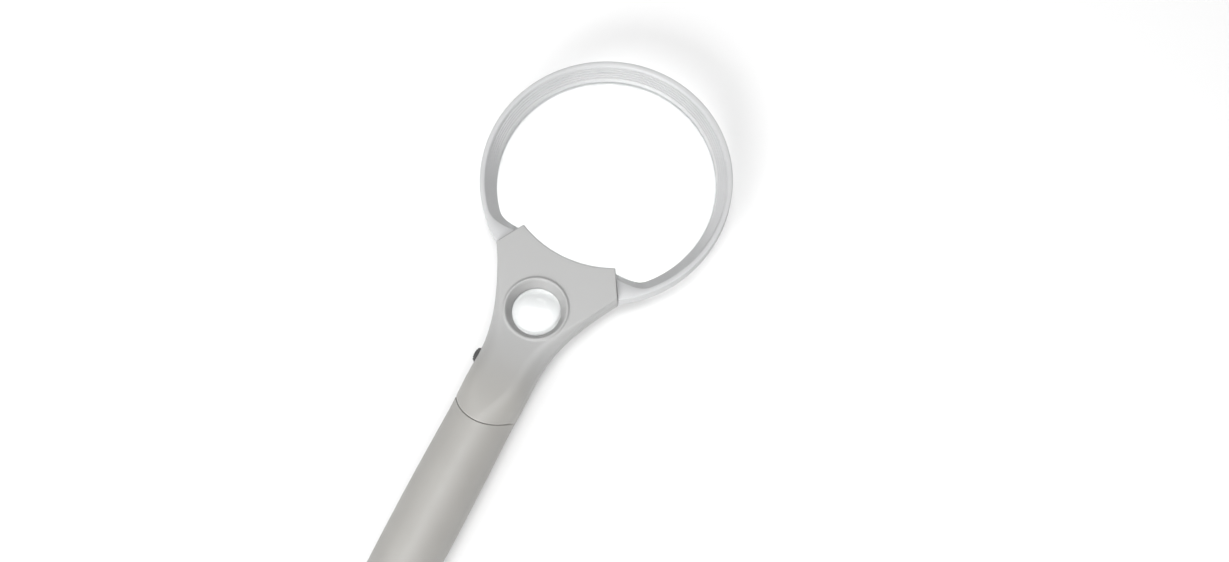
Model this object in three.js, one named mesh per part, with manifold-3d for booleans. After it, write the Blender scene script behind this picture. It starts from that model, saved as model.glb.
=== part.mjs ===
// Hand-held low vision magnifier: a large bifocal lens in an open ring, a two-part yoke housing
// with a small strong lens and three reading LEDs, and a round handle that holds three AAA cells.
//
// Millimetres, +Z up. The lens plane is level, the viewer's side faces +Z, the handle runs along
// -Y and the light switch is on the -X side. Shapes are drawn about the centre of the large lens;
// the group at the end moves the whole magnifier to the middle of its footprint.

import * as THREE from 'three';
import { mergeVertices } from 'three/addons/utils/BufferGeometryUtils.js';
import Module from 'manifold-3d';

const wasm = await Module();
wasm.setup();

// ---------------------------------------------------------------- driving dimensions

const GAP = 0.3; // clearance between neighbouring pieces
const WALL = 1.6; // moulded wall of the housing

// ring and large lens
const RING_R = 51.2; // outside radius
const RING_FRONT = 5; // height of the front rim above the parting plane
const RING_REAR = -5.2;
const REAR_STEP = { foot: 49.9, top: 50.7, rise: 0.8 }; // radii of the rounded rear edge
const RIM_R = 49.3; // where the front rim turns into the inner bevel
const RIM_ARM_Y = -36.4; // the same edge along the arms
const CLEAR_R = 44.8; // clear aperture
const CLEAR_ARM_Y = -33; // the aperture's edge along the arms
const LIP_Z = -1.2; // foot of the bevel
const FILLET = 4.2; // how softly the circle turns into the arm's edge
const LENS_R = 46.2; // lens outside radius, in the ring's groove
const LENS_ARM_Y = -34.4;
const FLANGE = 2; // width of the lens's clamped flange
const FLANGE_SLOPE = 5; // width of the slope from the flange up to the curved face
const FLANGE_FRONT = -1.9;
const FLANGE_REAR = -3.9;
const FRONT_CURVE_R = 196.4; // spherical radii of a two times biconvex acrylic lens
const REAR_CURVE_R = 337;
const SPOT = { x: -33.2, y: -3.6, r: 11.3, edge: 0.35, crown: 1.4 }; // bifocal window of the lens

// yoke and handle
const YOKE_FACE = 7; // half thickness of the flat yoke
const THROAT = { y: 7.3, r: 45.1 }; // concave edge over the lens: centre height and radius
const SEAM_TOP = new THREE.Vector2(20.6, -33); // where an arm of the ring meets the yoke
const SEAM_FOOT = new THREE.Vector2(27.3, -44.3);
const TONGUE = { near: 4, far: 10.6, root: -1.2, tip: 5.5, half: 3.6 }; // arm's end in the yoke
const WAIST_Y = -90; // narrowest place of the handle
const WAIST = 12.5; // half width there
const FLARE = 0.0069; // the yoke widens with the square of the distance from the waist
const BELLY = 0.6; // swell of the grip
const EDGE_R = 1.2; // front edges of the yoke
const REAR_EDGE_R = 3.6;
const SHOULDER_R = 7.2; // edges of the handle's flat shoulder
const SOFT_Y = [-52, -82]; // the edges soften from the yoke's to the shoulder's radius
const RISE_Y = [-68, -113]; // the faces rise to the thickness of the round grip
const ROUND_Y = [-92, -113]; // and the section turns from flat faced to round
const HANDLE_END = -206;
const END_ROUND = 9; // rounding of the handle's end
const COVER_SEAM = { y: -98.3, r: 14.8 }; // round tongue between the housing and the cover
const NECK = { r: 11.25, bore: 9.9, top: -102, end: -118 }; // spigot inside the battery cover
const COVER_BORE_R = 11.6;

// small lens
const EYE_Y = -62;
const EYE_R = 9.7; // clear radius
const EYE_EDGE_R = 10.9;
const COLLAR = { bore: 9.9, r: 11.2, flange: 13, rear: -9.6 };
const SOCKET = { seat: 1.7, cone: 3.3, mouth: 12, lip: 12.3, foot: 13.4, rise: 0.55 };
const BOSS = { front: 14.2, rear: 12.8 }; // radii of the seats round the small lens

// light
const LED_XY = [[-8.6, -44.0], [0, -44.6], [8.6, -44.0]];
const LED_R = 2.45;
const WINDOW = { inner: 49.4, outer: 54.5, halfAngle: 0.232 }; // about the throat's centre

// switch
const KNOB_Y = -87.8;
const KNOB_TRAVEL = 3.5;
const KNOB_FLAT = 12.25; // distance of the flat under the knob from the handle's axis

// battery
const CELL_R = 5.15;
const CELL_LENGTH = 44.5;
const CELL_ORBIT = 6.13; // distance of each cell from the handle's axis
const CRADLE_R = 11.25;
const CRADLE_TOP = -120.3; // lower face of the upper flange
const CRADLE_FOOT = -171.7; // upper face of the lower flange
const CRADLE_HUB = { r: 7.9, top: -112, core: 4.6, hole: 2.6, flange: 2 };
const PLATE = 0.4; // thickness of the contacts

const SCREWS_XY = [[-6.3, -79.3], [6.3, -79.3]];
const POST = { r: 3.2, pilot: 1.4, end: 6.5 }; // screw post of the front shell
const WELL = { r: 3.8, head: 2.6, seat: -4.8, shank: 1.5 }; // screw well of the rear shell
const BEYOND = 60; // half extent of the blocks that only cut
const DEEP = 20;

// ---------------------------------------------------------------- materials

const finish = (color, roughness, metalness = 0, extra = {}) =>
  new THREE.MeshStandardMaterial({ color, roughness, metalness, flatShading: true, ...extra });

const acrylic = { transparent: true, opacity: 0.3 };
const HOUSING_GREY = 0xbdbdbc;
const RING_GREY = 0xcfd0d1;
const COVER_GREY = 0xb9b6af;

// ---------------------------------------------------------------- solids

function signedVolume(position, index) {
  const [a, b, c] = [new THREE.Vector3(), new THREE.Vector3(), new THREE.Vector3()];
  let volume = 0;
  for (let i = 0; i < index.length; i += 3) {
    a.fromArray(position, 3 * index[i]);
    b.fromArray(position, 3 * index[i + 1]);
    c.fromArray(position, 3 * index[i + 2]);
    volume += a.dot(b.cross(c)) / 6;
  }
  return volume;
}

// Turns a closed three.js geometry into a solid that can be joined and cut.
function solid(geometry) {
  geometry.deleteAttribute('normal');
  geometry.deleteAttribute('uv');
  const merged = mergeVertices(geometry, 1e-4);
  const vertProperties = new Float32Array(merged.attributes.position.array);
  const triVerts = new Uint32Array(merged.index.array);
  if (signedVolume(vertProperties, triVerts) < 0) triVerts.reverse();
  return new wasm.Manifold(new wasm.Mesh({ numProp: 3, vertProperties, triVerts }));
}

// A skin over rings of equally many points, closed by a fan at each end.
function loft(rings) {
  const n = rings[0].length;
  const points = rings.flat();
  const first = points.length;
  for (const ring of [rings[0], rings.at(-1)]) {
    points.push(ring.reduce((sum, p) => sum.add(p), new THREE.Vector3()).divideScalar(n));
  }
  const index = [];
  for (let k = 0; k < n; k++) {
    const next = (k + 1) % n;
    index.push(first, next, k);
    for (let i = 0; i < rings.length - 1; i++) {
      const [low, high] = [i * n, (i + 1) * n];
      index.push(low + k, low + next, high + k, high + k, low + next, high + next);
    }
    const last = (rings.length - 1) * n;
    index.push(first + 1, last + k, last + next);
  }
  const geometry = new THREE.BufferGeometry().setFromPoints(points);
  geometry.setIndex(index);
  return solid(geometry);
}

function prism(outline, z0, z1) {
  const shape = new THREE.Shape(outline);
  const geometry = new THREE.ExtrudeGeometry(shape, { depth: z1 - z0, bevelEnabled: false });
  return solid(geometry.translate(0, 0, z0));
}

function block(x0, x1, y0, y1, z0, z1) {
  const geometry = new THREE.BoxGeometry(x1 - x0, y1 - y0, z1 - z0);
  return solid(geometry.translate((x0 + x1) / 2, (y0 + y1) / 2, (z0 + z1) / 2));
}

// A turned piece about a vertical axis; the profile lists [radius, z] from bottom to top.
function turned(profile, x, y, segments) {
  const points = profile.map(([r, z]) => new THREE.Vector2(r, z));
  const geometry = new THREE.LatheGeometry(points, segments);
  return solid(geometry.rotateX(Math.PI / 2).translate(x, y, 0));
}

function disc(r, z0, z1, x, y, segments) {
  return turned([[0, z0], [r, z0], [r, z1], [0, z1]], x, y, segments);
}

// A turned piece about an axis along the handle; the profile lists [radius, y].
function turnedAlongY(profile, x, z, segments) {
  const points = profile.map(([r, y]) => new THREE.Vector2(r, y));
  return solid(new THREE.LatheGeometry(points, segments).translate(x, 0, z));
}

function rod(r, y0, y1, x, z, segments) {
  return turnedAlongY([[0, y0], [r, y0], [r, y1], [0, y1]], x, z, segments);
}

const sweep = (points, r, steps, sides) => {
  const outline = Array.from({ length: sides }, (_, i) =>
    new THREE.Vector2(r, 0).rotateAround(new THREE.Vector2(), (2 * Math.PI * i) / sides));
  const extrudePath = new THREE.CatmullRomCurve3(points.map((p) => new THREE.Vector3(...p)));
  return solid(new THREE.ExtrudeGeometry(new THREE.Shape(outline), { steps, extrudePath }));
};

const smoothStep = (x) => THREE.MathUtils.smoothstep(x, 0, 1);

function smoothMin(a, b, softness) {
  const h = Math.max(softness - Math.abs(a - b), 0) / softness;
  return Math.min(a, b) - (h * h * softness) / 4;
}

// ---------------------------------------------------------------- outlines of ring and lens

// Distance from the lens centre to an edge that is a circle above and a level line across the arms.
function archRadius(angle, r, lineY) {
  const slope = -Math.sin(angle);
  return slope > 0 ? smoothMin(r, -lineY / slope, FILLET) : r;
}

// Distance along a ray from the lens centre to the circle that follows the yoke's throat.
function throatRadius(angle, r) {
  const s = Math.sin(angle) * THROAT.y;
  return s + Math.sqrt(s * s + r * r - THROAT.y * THROAT.y);
}

function lensRadius(angle, grow = 0) {
  const arch = archRadius(angle, LENS_R + grow, LENS_ARM_Y - grow);
  if (Math.sin(angle) >= 0) return arch;
  const throat = throatRadius(angle, THROAT.r + 1.3 + grow);
  return Math.min(LENS_R + grow, Math.max(arch, throat));
}

function outline(radiusAt, count = 80) {
  return Array.from({ length: count }, (_, i) => {
    const angle = Math.PI / 2 + (2 * Math.PI * i) / count;
    const r = radiusAt(angle);
    return new THREE.Vector2(r * Math.cos(angle), r * Math.sin(angle));
  });
}

const atHeight = (points, z) => points.map((p) => new THREE.Vector3(p.x, p.y, z));

const dome = (r, curve) =>
  Math.sqrt(curve * curve - r * r) - Math.sqrt(curve * curve - CLEAR_R * CLEAR_R);

const lensFront = (r) => FLANGE_FRONT + Math.max(dome(r, FRONT_CURVE_R), 0);
const lensRear = (r) => FLANGE_REAR - Math.max(dome(r, REAR_CURVE_R), 0);

// ---------------------------------------------------------------- lenses

function mainLens() {
  const edge = outline(lensRadius);
  const inset = (distance) => edge.map((p) => p.clone().setLength(p.length() - distance));
  const scaled = (share) => edge.map((p) => p.clone().multiplyScalar(share));
  const surface = (points, height) =>
    points.map((p) => new THREE.Vector3(p.x, p.y, height(p.length())));
  const body = loft([
    ...[0.3, 0.6, 0.85].map((share) => surface(scaled(share), lensRear)),
    surface(inset(FLANGE + 0.4), lensRear),
    atHeight(inset(FLANGE), FLANGE_REAR),
    atHeight(edge, FLANGE_REAR),
    atHeight(edge, FLANGE_FRONT),
    atHeight(inset(FLANGE), FLANGE_FRONT),
    surface(inset(FLANGE + FLANGE_SLOPE), lensFront),
    ...[0.7, 0.5, 0.25].map((share) => surface(scaled(share), lensFront)),
  ]);
  return body.add(bifocalSpot());
}

// The strong round window stands a little proud of the front of the lens and is moulded with it.
function bifocalSpot() {
  const ringAt = (share, height) => Array.from({ length: 28 }, (_, i) => {
    const angle = (2 * Math.PI * i) / 28;
    const x = SPOT.x + SPOT.r * share * Math.cos(angle);
    const y = SPOT.y + SPOT.r * share * Math.sin(angle);
    return new THREE.Vector3(x, y, height(Math.hypot(x, y)));
  });
  const rise = (share) => SPOT.edge + SPOT.crown * (1 - share * share);
  const rings = [ringAt(1, () => FLANGE_REAR + 0.5)];
  for (const share of [1, 0.8, 0.5, 0.2]) {
    rings.push(ringAt(share, (r) => lensFront(r) + rise(share)));
  }
  return loft(rings);
}

function smallLens() {
  const [front, rear, steps] = [1.4, -0.6, 5];
  const curve = (z, way) => Array.from({ length: steps + 1 }, (_, i) => {
    const r = (EYE_R * i) / steps;
    return [r, z + way * 3 * (1 - (r / EYE_R) ** 2)];
  });
  const profile = [
    ...curve(rear, -1),
    [EYE_EDGE_R, rear],
    [EYE_EDGE_R, front],
    ...curve(front, 1).reverse(),
  ];
  return turned(profile, 0, EYE_Y, 32);
}

// ---------------------------------------------------------------- ring

// The wedge of the yoke between the two arm seams, grown outwards by a distance.
function seamWedge(grow) {
  const along = SEAM_FOOT.clone().sub(SEAM_TOP).normalize();
  const out = new THREE.Vector2(-along.y, along.x).multiplyScalar(grow);
  const top = SEAM_TOP.clone().addScaledVector(along, -30).add(out);
  const foot = SEAM_FOOT.clone().addScaledVector(along, 9).add(out);
  const right = [foot, top];
  const left = [top, foot].map((p) => new THREE.Vector2(-p.x, p.y));
  const bottom = HANDLE_END - 10;
  return prism([
    new THREE.Vector2(-foot.x, bottom),
    new THREE.Vector2(foot.x, bottom),
    ...right,
    ...left,
  ], -DEEP, DEEP);
}

// Tongue of one arm inside the yoke; side is 1 on the right and -1 on the left.
function armTongue(side, grow) {
  const along = SEAM_FOOT.clone().sub(SEAM_TOP).normalize();
  const inward = new THREE.Vector2(along.y, -along.x);
  const corner = (s, depth) => {
    const p = SEAM_TOP.clone().addScaledVector(along, s).addScaledVector(inward, depth);
    return new THREE.Vector2(side * p.x, p.y);
  };
  const [near, far, tip] = [TONGUE.near - grow, TONGUE.far + grow, TONGUE.tip + grow];
  const corners = [corner(near, TONGUE.root), corner(near, tip), corner(far, tip),
    corner(far, TONGUE.root)];
  return prism(corners, -TONGUE.half - grow, TONGUE.half + grow);
}

function lensRing() {
  const circle = (r) => outline(() => r);
  const arch = (r, y) => outline((angle) => archRadius(angle, r, y));
  const body = loft([
    atHeight(circle(REAR_STEP.foot), RING_REAR),
    atHeight(circle(REAR_STEP.top), RING_REAR + REAR_STEP.rise),
    atHeight(circle(RING_R), 0),
    atHeight(circle(RING_R), RING_FRONT - 0.5),
    atHeight(circle(RING_R - 0.4), RING_FRONT),
  ]);
  const bevelRise = RING_FRONT - LIP_Z;
  const past = 1 / bevelRise; // carries the bevel on for one millimetre above the rim
  const opening = loft([
    atHeight(arch(CLEAR_R + 0.8, CLEAR_ARM_Y - 0.8), RING_REAR - 1),
    atHeight(arch(CLEAR_R, CLEAR_ARM_Y), RING_REAR + REAR_STEP.rise),
    atHeight(arch(CLEAR_R, CLEAR_ARM_Y), LIP_Z),
    atHeight(arch(RIM_R, RIM_ARM_Y), RING_FRONT),
    atHeight(arch(
      RIM_R + past * (RIM_R - CLEAR_R),
      RIM_ARM_Y + past * (RIM_ARM_Y - CLEAR_ARM_Y),
    ), RING_FRONT + 1),
  ]);
  const groove = prism(outline((a) => lensRadius(a, GAP)), FLANGE_REAR - GAP, FLANGE_FRONT + GAP);
  return body
    .subtract(opening)
    .subtract(groove)
    .subtract(seamWedge(GAP / 2))
    .add(armTongue(1, 0))
    .add(armTongue(-1, 0));
}

// ---------------------------------------------------------------- handle body

function halfWidth(y) {
  const d = y - WAIST_Y;
  if (d > 0) return WAIST + FLARE * d * d;
  return WAIST + (BELLY * (1 - Math.cos((2 * Math.PI * d) / 120))) / 2;
}

// Share of the way between two stations, eased at both ends.
const between = (y, [from, to]) => smoothStep((from - y) / (from - to));

// One cross-section: nearly sharp in the yoke, with flat faces and soft edges in the shoulder, and
// a circle in the grip. The rear edges of the yoke are rounder than the front ones.
function section(y, inset, shrink = 0) {
  const { lerp } = THREE.MathUtils;
  const width = halfWidth(y) - inset - shrink;
  const height = lerp(YOKE_FACE, halfWidth(y), between(y, RISE_Y)) - inset - shrink;
  const corner = (edge) => {
    const soft = Math.max(lerp(edge, SHOULDER_R, between(y, SOFT_Y)) - inset, 0.6);
    return lerp(Math.min(soft, height - 0.02), height - 0.02, between(y, ROUND_Y));
  };
  const [front, rear] = [corner(EDGE_R), corner(REAR_EDGE_R)];
  const points = [];
  for (const [sx, sz, start] of [[1, 1, 0], [-1, 1, 1], [-1, -1, 2], [1, -1, 3]]) {
    const r = sz > 0 ? front : rear;
    for (let i = 0; i <= 6; i++) {
      const angle = ((start + i / 6) * Math.PI) / 2;
      const x = sx * (width - r) + r * Math.cos(angle);
      const z = sz * (height - r) + r * Math.sin(angle);
      points.push(new THREE.Vector3(x, y, z));
    }
  }
  return points;
}

const range = (from, to, count) =>
  Array.from({ length: count + 1 }, (_, i) => from + ((to - from) * i) / count);

// The outside of yoke, handle and battery cover in one skin.
function handleSkin() {
  const stations = [-28, -44, ...range(-50, -114, 16), ...range(-126, -190, 5)];
  const rings = stations.map((y) => section(y, 0));
  for (const angle of [0, 30, 55, 75, 88]) {
    const a = THREE.MathUtils.degToRad(angle);
    const y = HANDLE_END + END_ROUND - END_ROUND * Math.sin(a);
    rings.push(section(y, 0, END_ROUND * (1 - Math.cos(a))));
  }
  return loft(rings);
}

const throatDisc = (r) => disc(r, -DEEP, DEEP, 0, THROAT.y, 96);

// Everything on the yoke's side of the round seam to the battery cover.
function housingSide(grow) {
  const tongue = disc(COVER_SEAM.r + grow, -DEEP, DEEP, 0, COVER_SEAM.y, 64);
  return tongue.add(block(-BEYOND, BEYOND, COVER_SEAM.y, 0, -DEEP, DEEP));
}

function housingBlank() {
  return handleSkin()
    .intersect(housingSide(-GAP / 2))
    .subtract(throatDisc(THROAT.r))
    .intersect(seamWedge(-GAP / 2))
    .add(rod(NECK.r, NECK.end, NECK.top, 0, 0, 36));
}

function housingCavity() {
  const stations = [-28, -44, ...range(-50, -98, 12), NECK.top + 2];
  const rings = stations.map((y) => section(y, WALL));
  return loft(rings)
    .subtract(throatDisc(THROAT.r + 3.9))
    .intersect(seamWedge(-2.2))
    .add(rod(NECK.bore, NECK.end - 1, NECK.top + 3, 0, 0, 32));
}

// Shallow flat in the side wall for the switch knob's pad, and the slot for its stem.
function switchSlot() {
  const pocket = block(-DEEP, -KNOB_FLAT, KNOB_Y - 3.3, KNOB_Y + 3.3 + KNOB_TRAVEL, -3.1, 3.1);
  return pocket.add(block(-16, -9, KNOB_Y - 2, KNOB_Y + 2 + KNOB_TRAVEL, -2, 2));
}

// Ribs that hold the switch body from one side; way is 1 for the front shell.
function switchRibs(way) {
  const [near, far] = [2.3, 11.5];
  const [z0, z1] = way > 0 ? [near, far] : [-far, -near];
  return block(-6.9, -3.9, -91.4, -90.2, z0, z1).add(block(-6.9, -3.9, -85.6, -84.4, z0, z1));
}

function annularSector(inner, outer, halfAngle, z0, z1) {
  const steps = 10;
  const at = (r, share) => {
    const angle = -Math.PI / 2 + halfAngle * (2 * share - 1);
    return new THREE.Vector2(r * Math.cos(angle), THROAT.y + r * Math.sin(angle));
  };
  const shares = range(0, 1, steps);
  const points = [
    ...shares.map((s) => at(outer, s)),
    ...shares.map((s) => at(inner, s)).reverse(),
  ];
  return prism(points, z0, z1);
}

// Lip of the front shell that presses the lens flange into the rear shell.
const clampLip = (grow) =>
  annularSector(THROAT.r + 0.1 - grow, THROAT.r + 2.6 + grow, 0.38 + grow / 45, -1.6 - grow, 1);

// The funnel over the small lens, open to the front, and the low lip raised round its mouth.
const funnel = () => turned([[0, 10], [SOCKET.mouth, 10], [SOCKET.mouth, YOKE_FACE + 0.45],
  [EYE_R, SOCKET.cone], [EYE_R, -1], [0, -1]], 0, EYE_Y, 40);
const socketLip = () => turned([[0, YOKE_FACE - 1], [SOCKET.foot, YOKE_FACE - 1],
  [SOCKET.foot, YOKE_FACE], [SOCKET.foot - 0.5, YOKE_FACE + 0.4],
  [SOCKET.lip, YOKE_FACE + SOCKET.rise], [0, YOKE_FACE + SOCKET.rise]], 0, EYE_Y, 40);

function frontShell() {
  const above = block(-BEYOND, BEYOND, -160, 0, GAP / 2, DEEP);
  const skin = handleSkin().intersect(above);
  const boss = disc(BOSS.front, SOCKET.seat, YOKE_FACE - 1, 0, EYE_Y, 40);
  let shell = housingBlank().intersect(above).subtract(housingCavity());
  shell = shell.add(boss.intersect(skin)).add(socketLip());
  for (const [x, y] of SCREWS_XY) {
    shell = shell.add(disc(POST.r, GAP / 2, 12, x, y, 20).intersect(skin));
  }
  shell = shell.add(switchRibs(1).intersect(skin)).add(clampLip(0));
  for (const [x, y] of SCREWS_XY) shell = shell.subtract(disc(POST.pilot, -1, POST.end, x, y, 16));
  shell = shell.subtract(funnel()).subtract(switchSlot());
  return shell.subtract(armTongue(1, GAP)).subtract(armTongue(-1, GAP));
}

function rearShell() {
  const below = block(-BEYOND, BEYOND, -160, 0, -DEEP, -GAP / 2);
  const skin = handleSkin().intersect(below);
  const boss = disc(BOSS.rear, -YOKE_FACE + 1, -GAP / 2, 0, EYE_Y, 40);
  let shell = housingBlank().intersect(below).subtract(housingCavity()).add(boss.intersect(skin));
  for (const [x, y] of SCREWS_XY) {
    shell = shell.add(disc(WELL.r, -12, -GAP / 2, x, y, 20).intersect(skin));
    shell = shell.subtract(disc(WELL.head, -14, WELL.seat, x, y, 20));
    shell = shell.subtract(disc(WELL.shank, -6, 1, x, y, 16));
  }
  shell = shell.add(switchRibs(-1).intersect(skin));
  shell = shell.subtract(disc(COLLAR.r + GAP, -12, 1, 0, EYE_Y, 40)).subtract(switchSlot());
  shell = shell.subtract(disc(COLLAR.flange + GAP, -12, -YOKE_FACE, 0, EYE_Y, 40));
  const lensSlot = prism(outline((a) => lensRadius(a, GAP)), FLANGE_REAR - GAP, 1);
  const window = annularSector(WINDOW.inner, WINDOW.outer, WINDOW.halfAngle, -9, -4);
  shell = shell.subtract(lensSlot).subtract(clampLip(GAP)).subtract(window);
  return shell.subtract(armTongue(1, GAP)).subtract(armTongue(-1, GAP));
}

function smallLensCollar() {
  const { bore, r, flange, rear } = COLLAR;
  const seat = -YOKE_FACE - GAP;
  return turned([[bore, rear], [flange - 0.6, rear], [flange, rear + 0.6], [flange, seat], [r, seat],
    [r, -0.9], [bore, -0.9], [bore, rear]], 0, EYE_Y, 40);
}

function shellScrew([x, y]) {
  return turned([[0, -7], [1.9, -7], [2.2, -6.6], [2.2, -5.1], [1.1, -5.1], [1.1, 5.4], [0, 6.1]],
    x, y, 16);
}

// ---------------------------------------------------------------- light

const ledWindow = () => annularSector(WINDOW.inner + GAP, WINDOW.outer - GAP,
  WINDOW.halfAngle - 0.006, -YOKE_FACE, -5.3);

const ledBoard = () => annularSector(THROAT.r + 4.3, THROAT.r + 9.6, 0.26, 3.9, 5.1);

function led([x, y]) {
  return turned([[0, -4.9], [1.1, -4.6], [2, -3.9], [LED_R, -2.6], [LED_R, 3.6], [0, 3.6]], x, y, 20);
}

const resistor = () => block(3.5, 5.1, -45.5, -42.8, 3, 3.6);

// ---------------------------------------------------------------- switch

const switchBody = () => block(-7.4, -3.4, KNOB_Y - 4.1, KNOB_Y + 4.1, -2, 2);

const switchSlider = () => block(-9.6, -7.7, KNOB_Y - 1, KNOB_Y + 1, -1, 1);

// Round thumb pad outside, stem through the slot and a plate that closes the slot from inside.
function switchKnob() {
  const [length, proud] = [2.9, 1.4];
  const base = -KNOB_FLAT - GAP;
  const arc = range(-length, length, 8).map((s) =>
    new THREE.Vector2(base - 0.3 - proud * Math.sqrt(1 - (s / (length + 0.1)) ** 2), KNOB_Y + s));
  const pad = [new THREE.Vector2(base, KNOB_Y - length), ...arc,
    new THREE.Vector2(base, KNOB_Y + length)];
  return prism(pad, -2.7, 2.7)
    .add(block(base - 0.2, -10.2, KNOB_Y - 1.6, KNOB_Y + 1.6, -1.6, 1.6))
    .add(block(-10.6, -9.9, KNOB_Y - 4.2, KNOB_Y + 2.6, -2.8, 2.8));
}

// ---------------------------------------------------------------- battery

const cellCentre = (i) => {
  const angle = Math.PI / 2 + (2 * Math.PI * i) / 3;
  return [CELL_ORBIT * Math.cos(angle), CELL_ORBIT * Math.sin(angle)];
};
const pointsUp = (i) => i !== 1; // the middle cell of the chain lies the other way round
const CELL_UP_Y = CRADLE_TOP - PLATE - 2 * GAP; // button of a cell that points up
const SPRING = 4.5;

function cell(i) {
  const [x, z] = cellCentre(i);
  const [nub, nubLength] = [1.9, 1.2];
  const top = pointsUp(i) ? CELL_UP_Y : CELL_UP_Y - SPRING - GAP;
  const can = CELL_LENGTH - nubLength;
  const [canTop, canFoot] = pointsUp(i) ? [top - nubLength, top - CELL_LENGTH] : [top, top - can];
  const nubY = pointsUp(i) ? [canTop - 0.5, top] : [top - CELL_LENGTH, canFoot + 0.5];
  return rod(CELL_R, canFoot, canTop, x, z, 24).add(rod(nub, nubY[0], nubY[1], x, z, 16));
}

// Conical spring against the flat end of a cell, wide end on its contact plate.
function contactSpring(i) {
  const [x, z] = cellCentre(i);
  const wire = 0.3;
  const flatEnd = pointsUp(i) ? CELL_UP_Y - CELL_LENGTH - GAP : CELL_UP_Y - SPRING;
  const way = pointsUp(i) ? -1 : 1;
  const points = range(0, 1, 36).map((t) => {
    const angle = 2 * Math.PI * 3.5 * t;
    const r = THREE.MathUtils.lerp(1.9, 3.6, t);
    const y = flatEnd + way * (wire + t * (SPRING - GAP - 2 * wire));
    return [x + r * Math.cos(angle), y, z + r * Math.sin(angle)];
  });
  return sweep(points, wire, 42, 5);
}

// Flat contact under or over the cells listed, joined by a straight bar where there are two.
function contactPlate(cells, y0) {
  const y1 = y0 + PLATE;
  const pads = cells.map((i) => rod(3.3, y0, y1, ...cellCentre(i), 20));
  if (cells.length === 1) return pads[0];
  const [a, b] = cells.map((i) => new THREE.Vector2(...cellCentre(i)));
  const bar = new THREE.BoxGeometry(a.distanceTo(b), PLATE, 2.4);
  bar.rotateY(-b.clone().sub(a).angle());
  const middle = a.clone().add(b).divideScalar(2);
  return solid(bar.translate(middle.x, y0 + PLATE / 2, middle.y)).add(pads[0]).add(pads[1]);
}

const PLATE_TOP_Y = CRADLE_TOP - GAP - PLATE;
const PLATE_FOOT_Y = CRADLE_FOOT + GAP;

// The last cell's contact reaches the wiring by a strip between the three cells.
function negativeStrip() {
  const [x, z] = cellCentre(2);
  const pad = contactPlate([2], PLATE_FOOT_Y);
  const arm = new THREE.BoxGeometry(CELL_ORBIT, PLATE, 1.2);
  arm.translate(CELL_ORBIT / 2, 0, 0).rotateY(-Math.atan2(z, x));
  const foot = solid(arm.translate(0, PLATE_FOOT_Y + PLATE / 2, 0));
  return pad.add(foot).add(block(-0.5, 0.5, PLATE_FOOT_Y, -116.5, -0.2, 0.2));
}

// Spool that carries the three cells: collar in the neck, two flanges and ribs between the cells.
function batteryCradle() {
  const { r, top, core, hole, flange } = CRADLE_HUB;
  const collar = NECK.bore - 0.4;
  let body = turnedAlongY([[0, CRADLE_FOOT - flange], [CRADLE_R, CRADLE_FOOT - flange],
    [CRADLE_R, CRADLE_TOP + flange], [collar, CRADLE_TOP + flange], [collar, top], [r, top],
    [r, CRADLE_TOP + flange], [0, CRADLE_TOP + flange]], 0, 0, 36);
  body = body.subtract(rod(core, CRADLE_FOOT, CRADLE_TOP, 0, 0, 24));
  for (let i = 0; i < 3; i++) {
    const [x, z] = cellCentre(i);
    const pocket = CELL_R + GAP;
    const mouth = new THREE.BoxGeometry(2 * pocket, CRADLE_TOP - CRADLE_FOOT, 10);
    mouth.translate(0, (CRADLE_TOP + CRADLE_FOOT) / 2, CELL_ORBIT + 5);
    mouth.rotateY(-((2 * Math.PI * i) / 3));
    body = body.subtract(rod(pocket, CRADLE_FOOT, CRADLE_TOP, x, z, 24)).subtract(solid(mouth));
  }
  return body.subtract(rod(hole, CRADLE_TOP - 1, CRADLE_TOP + flange + 1, 0, 0, 16));
}

function batteryCover() {
  return handleSkin()
    .subtract(housingSide(GAP / 2))
    .subtract(rod(COVER_BORE_R, HANDLE_END + 6, -80, 0, 0, 48));
}

// ---------------------------------------------------------------- wiring

const wire = (points) => sweep(points, 0.5, 24, 6);

// From the waist to the light board, past the screw post and round the small lens on one side.
const sideChannel = (side) => [[side * 10.3, -80, 3], [side * 10.9, -77, 1.3],
  [side * 12.2, -70, 0.9], [side * 13.2, -66, 0.9], [side * 14.3, -61, 0.9],
  [side * 13.9, -53, 1.4], [side * 12.1, -45.6, 2.9]];

const WIRES = {
  wire_battery_to_switch: [[-1.6, -117, 0.9], [-3.5, -108, 1.5], [-5, -99, 1], [-5.4, -92.5, 0]],
  wire_switch_to_leds: [[-6.3, -88, 3.3], [-8.2, -85.6, 3.8], [-9.8, -83.5, 3.9],
    ...sideChannel(-1)],
  wire_battery_to_leds: [[1.6, -117, 0.9], [4, -108, 2], [7.3, -97, 3], [9.6, -87, 3.4],
    ...sideChannel(1)],
};

// ---------------------------------------------------------------- the magnifier

const group = new THREE.Group();
group.name = 'low_vision_magnifier';

function addPart(name, body, material) {
  const { vertProperties, triVerts } = body.getMesh();
  const geometry = new THREE.BufferGeometry();
  geometry.setAttribute('position', new THREE.BufferAttribute(vertProperties, 3));
  geometry.setIndex(new THREE.BufferAttribute(triVerts, 1));
  const mesh = new THREE.Mesh(geometry, material);
  mesh.name = name;
  group.add(mesh);
}

const steel = (color = 0xb8bcc0) => finish(color, 0.35, 0.9);

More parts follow.
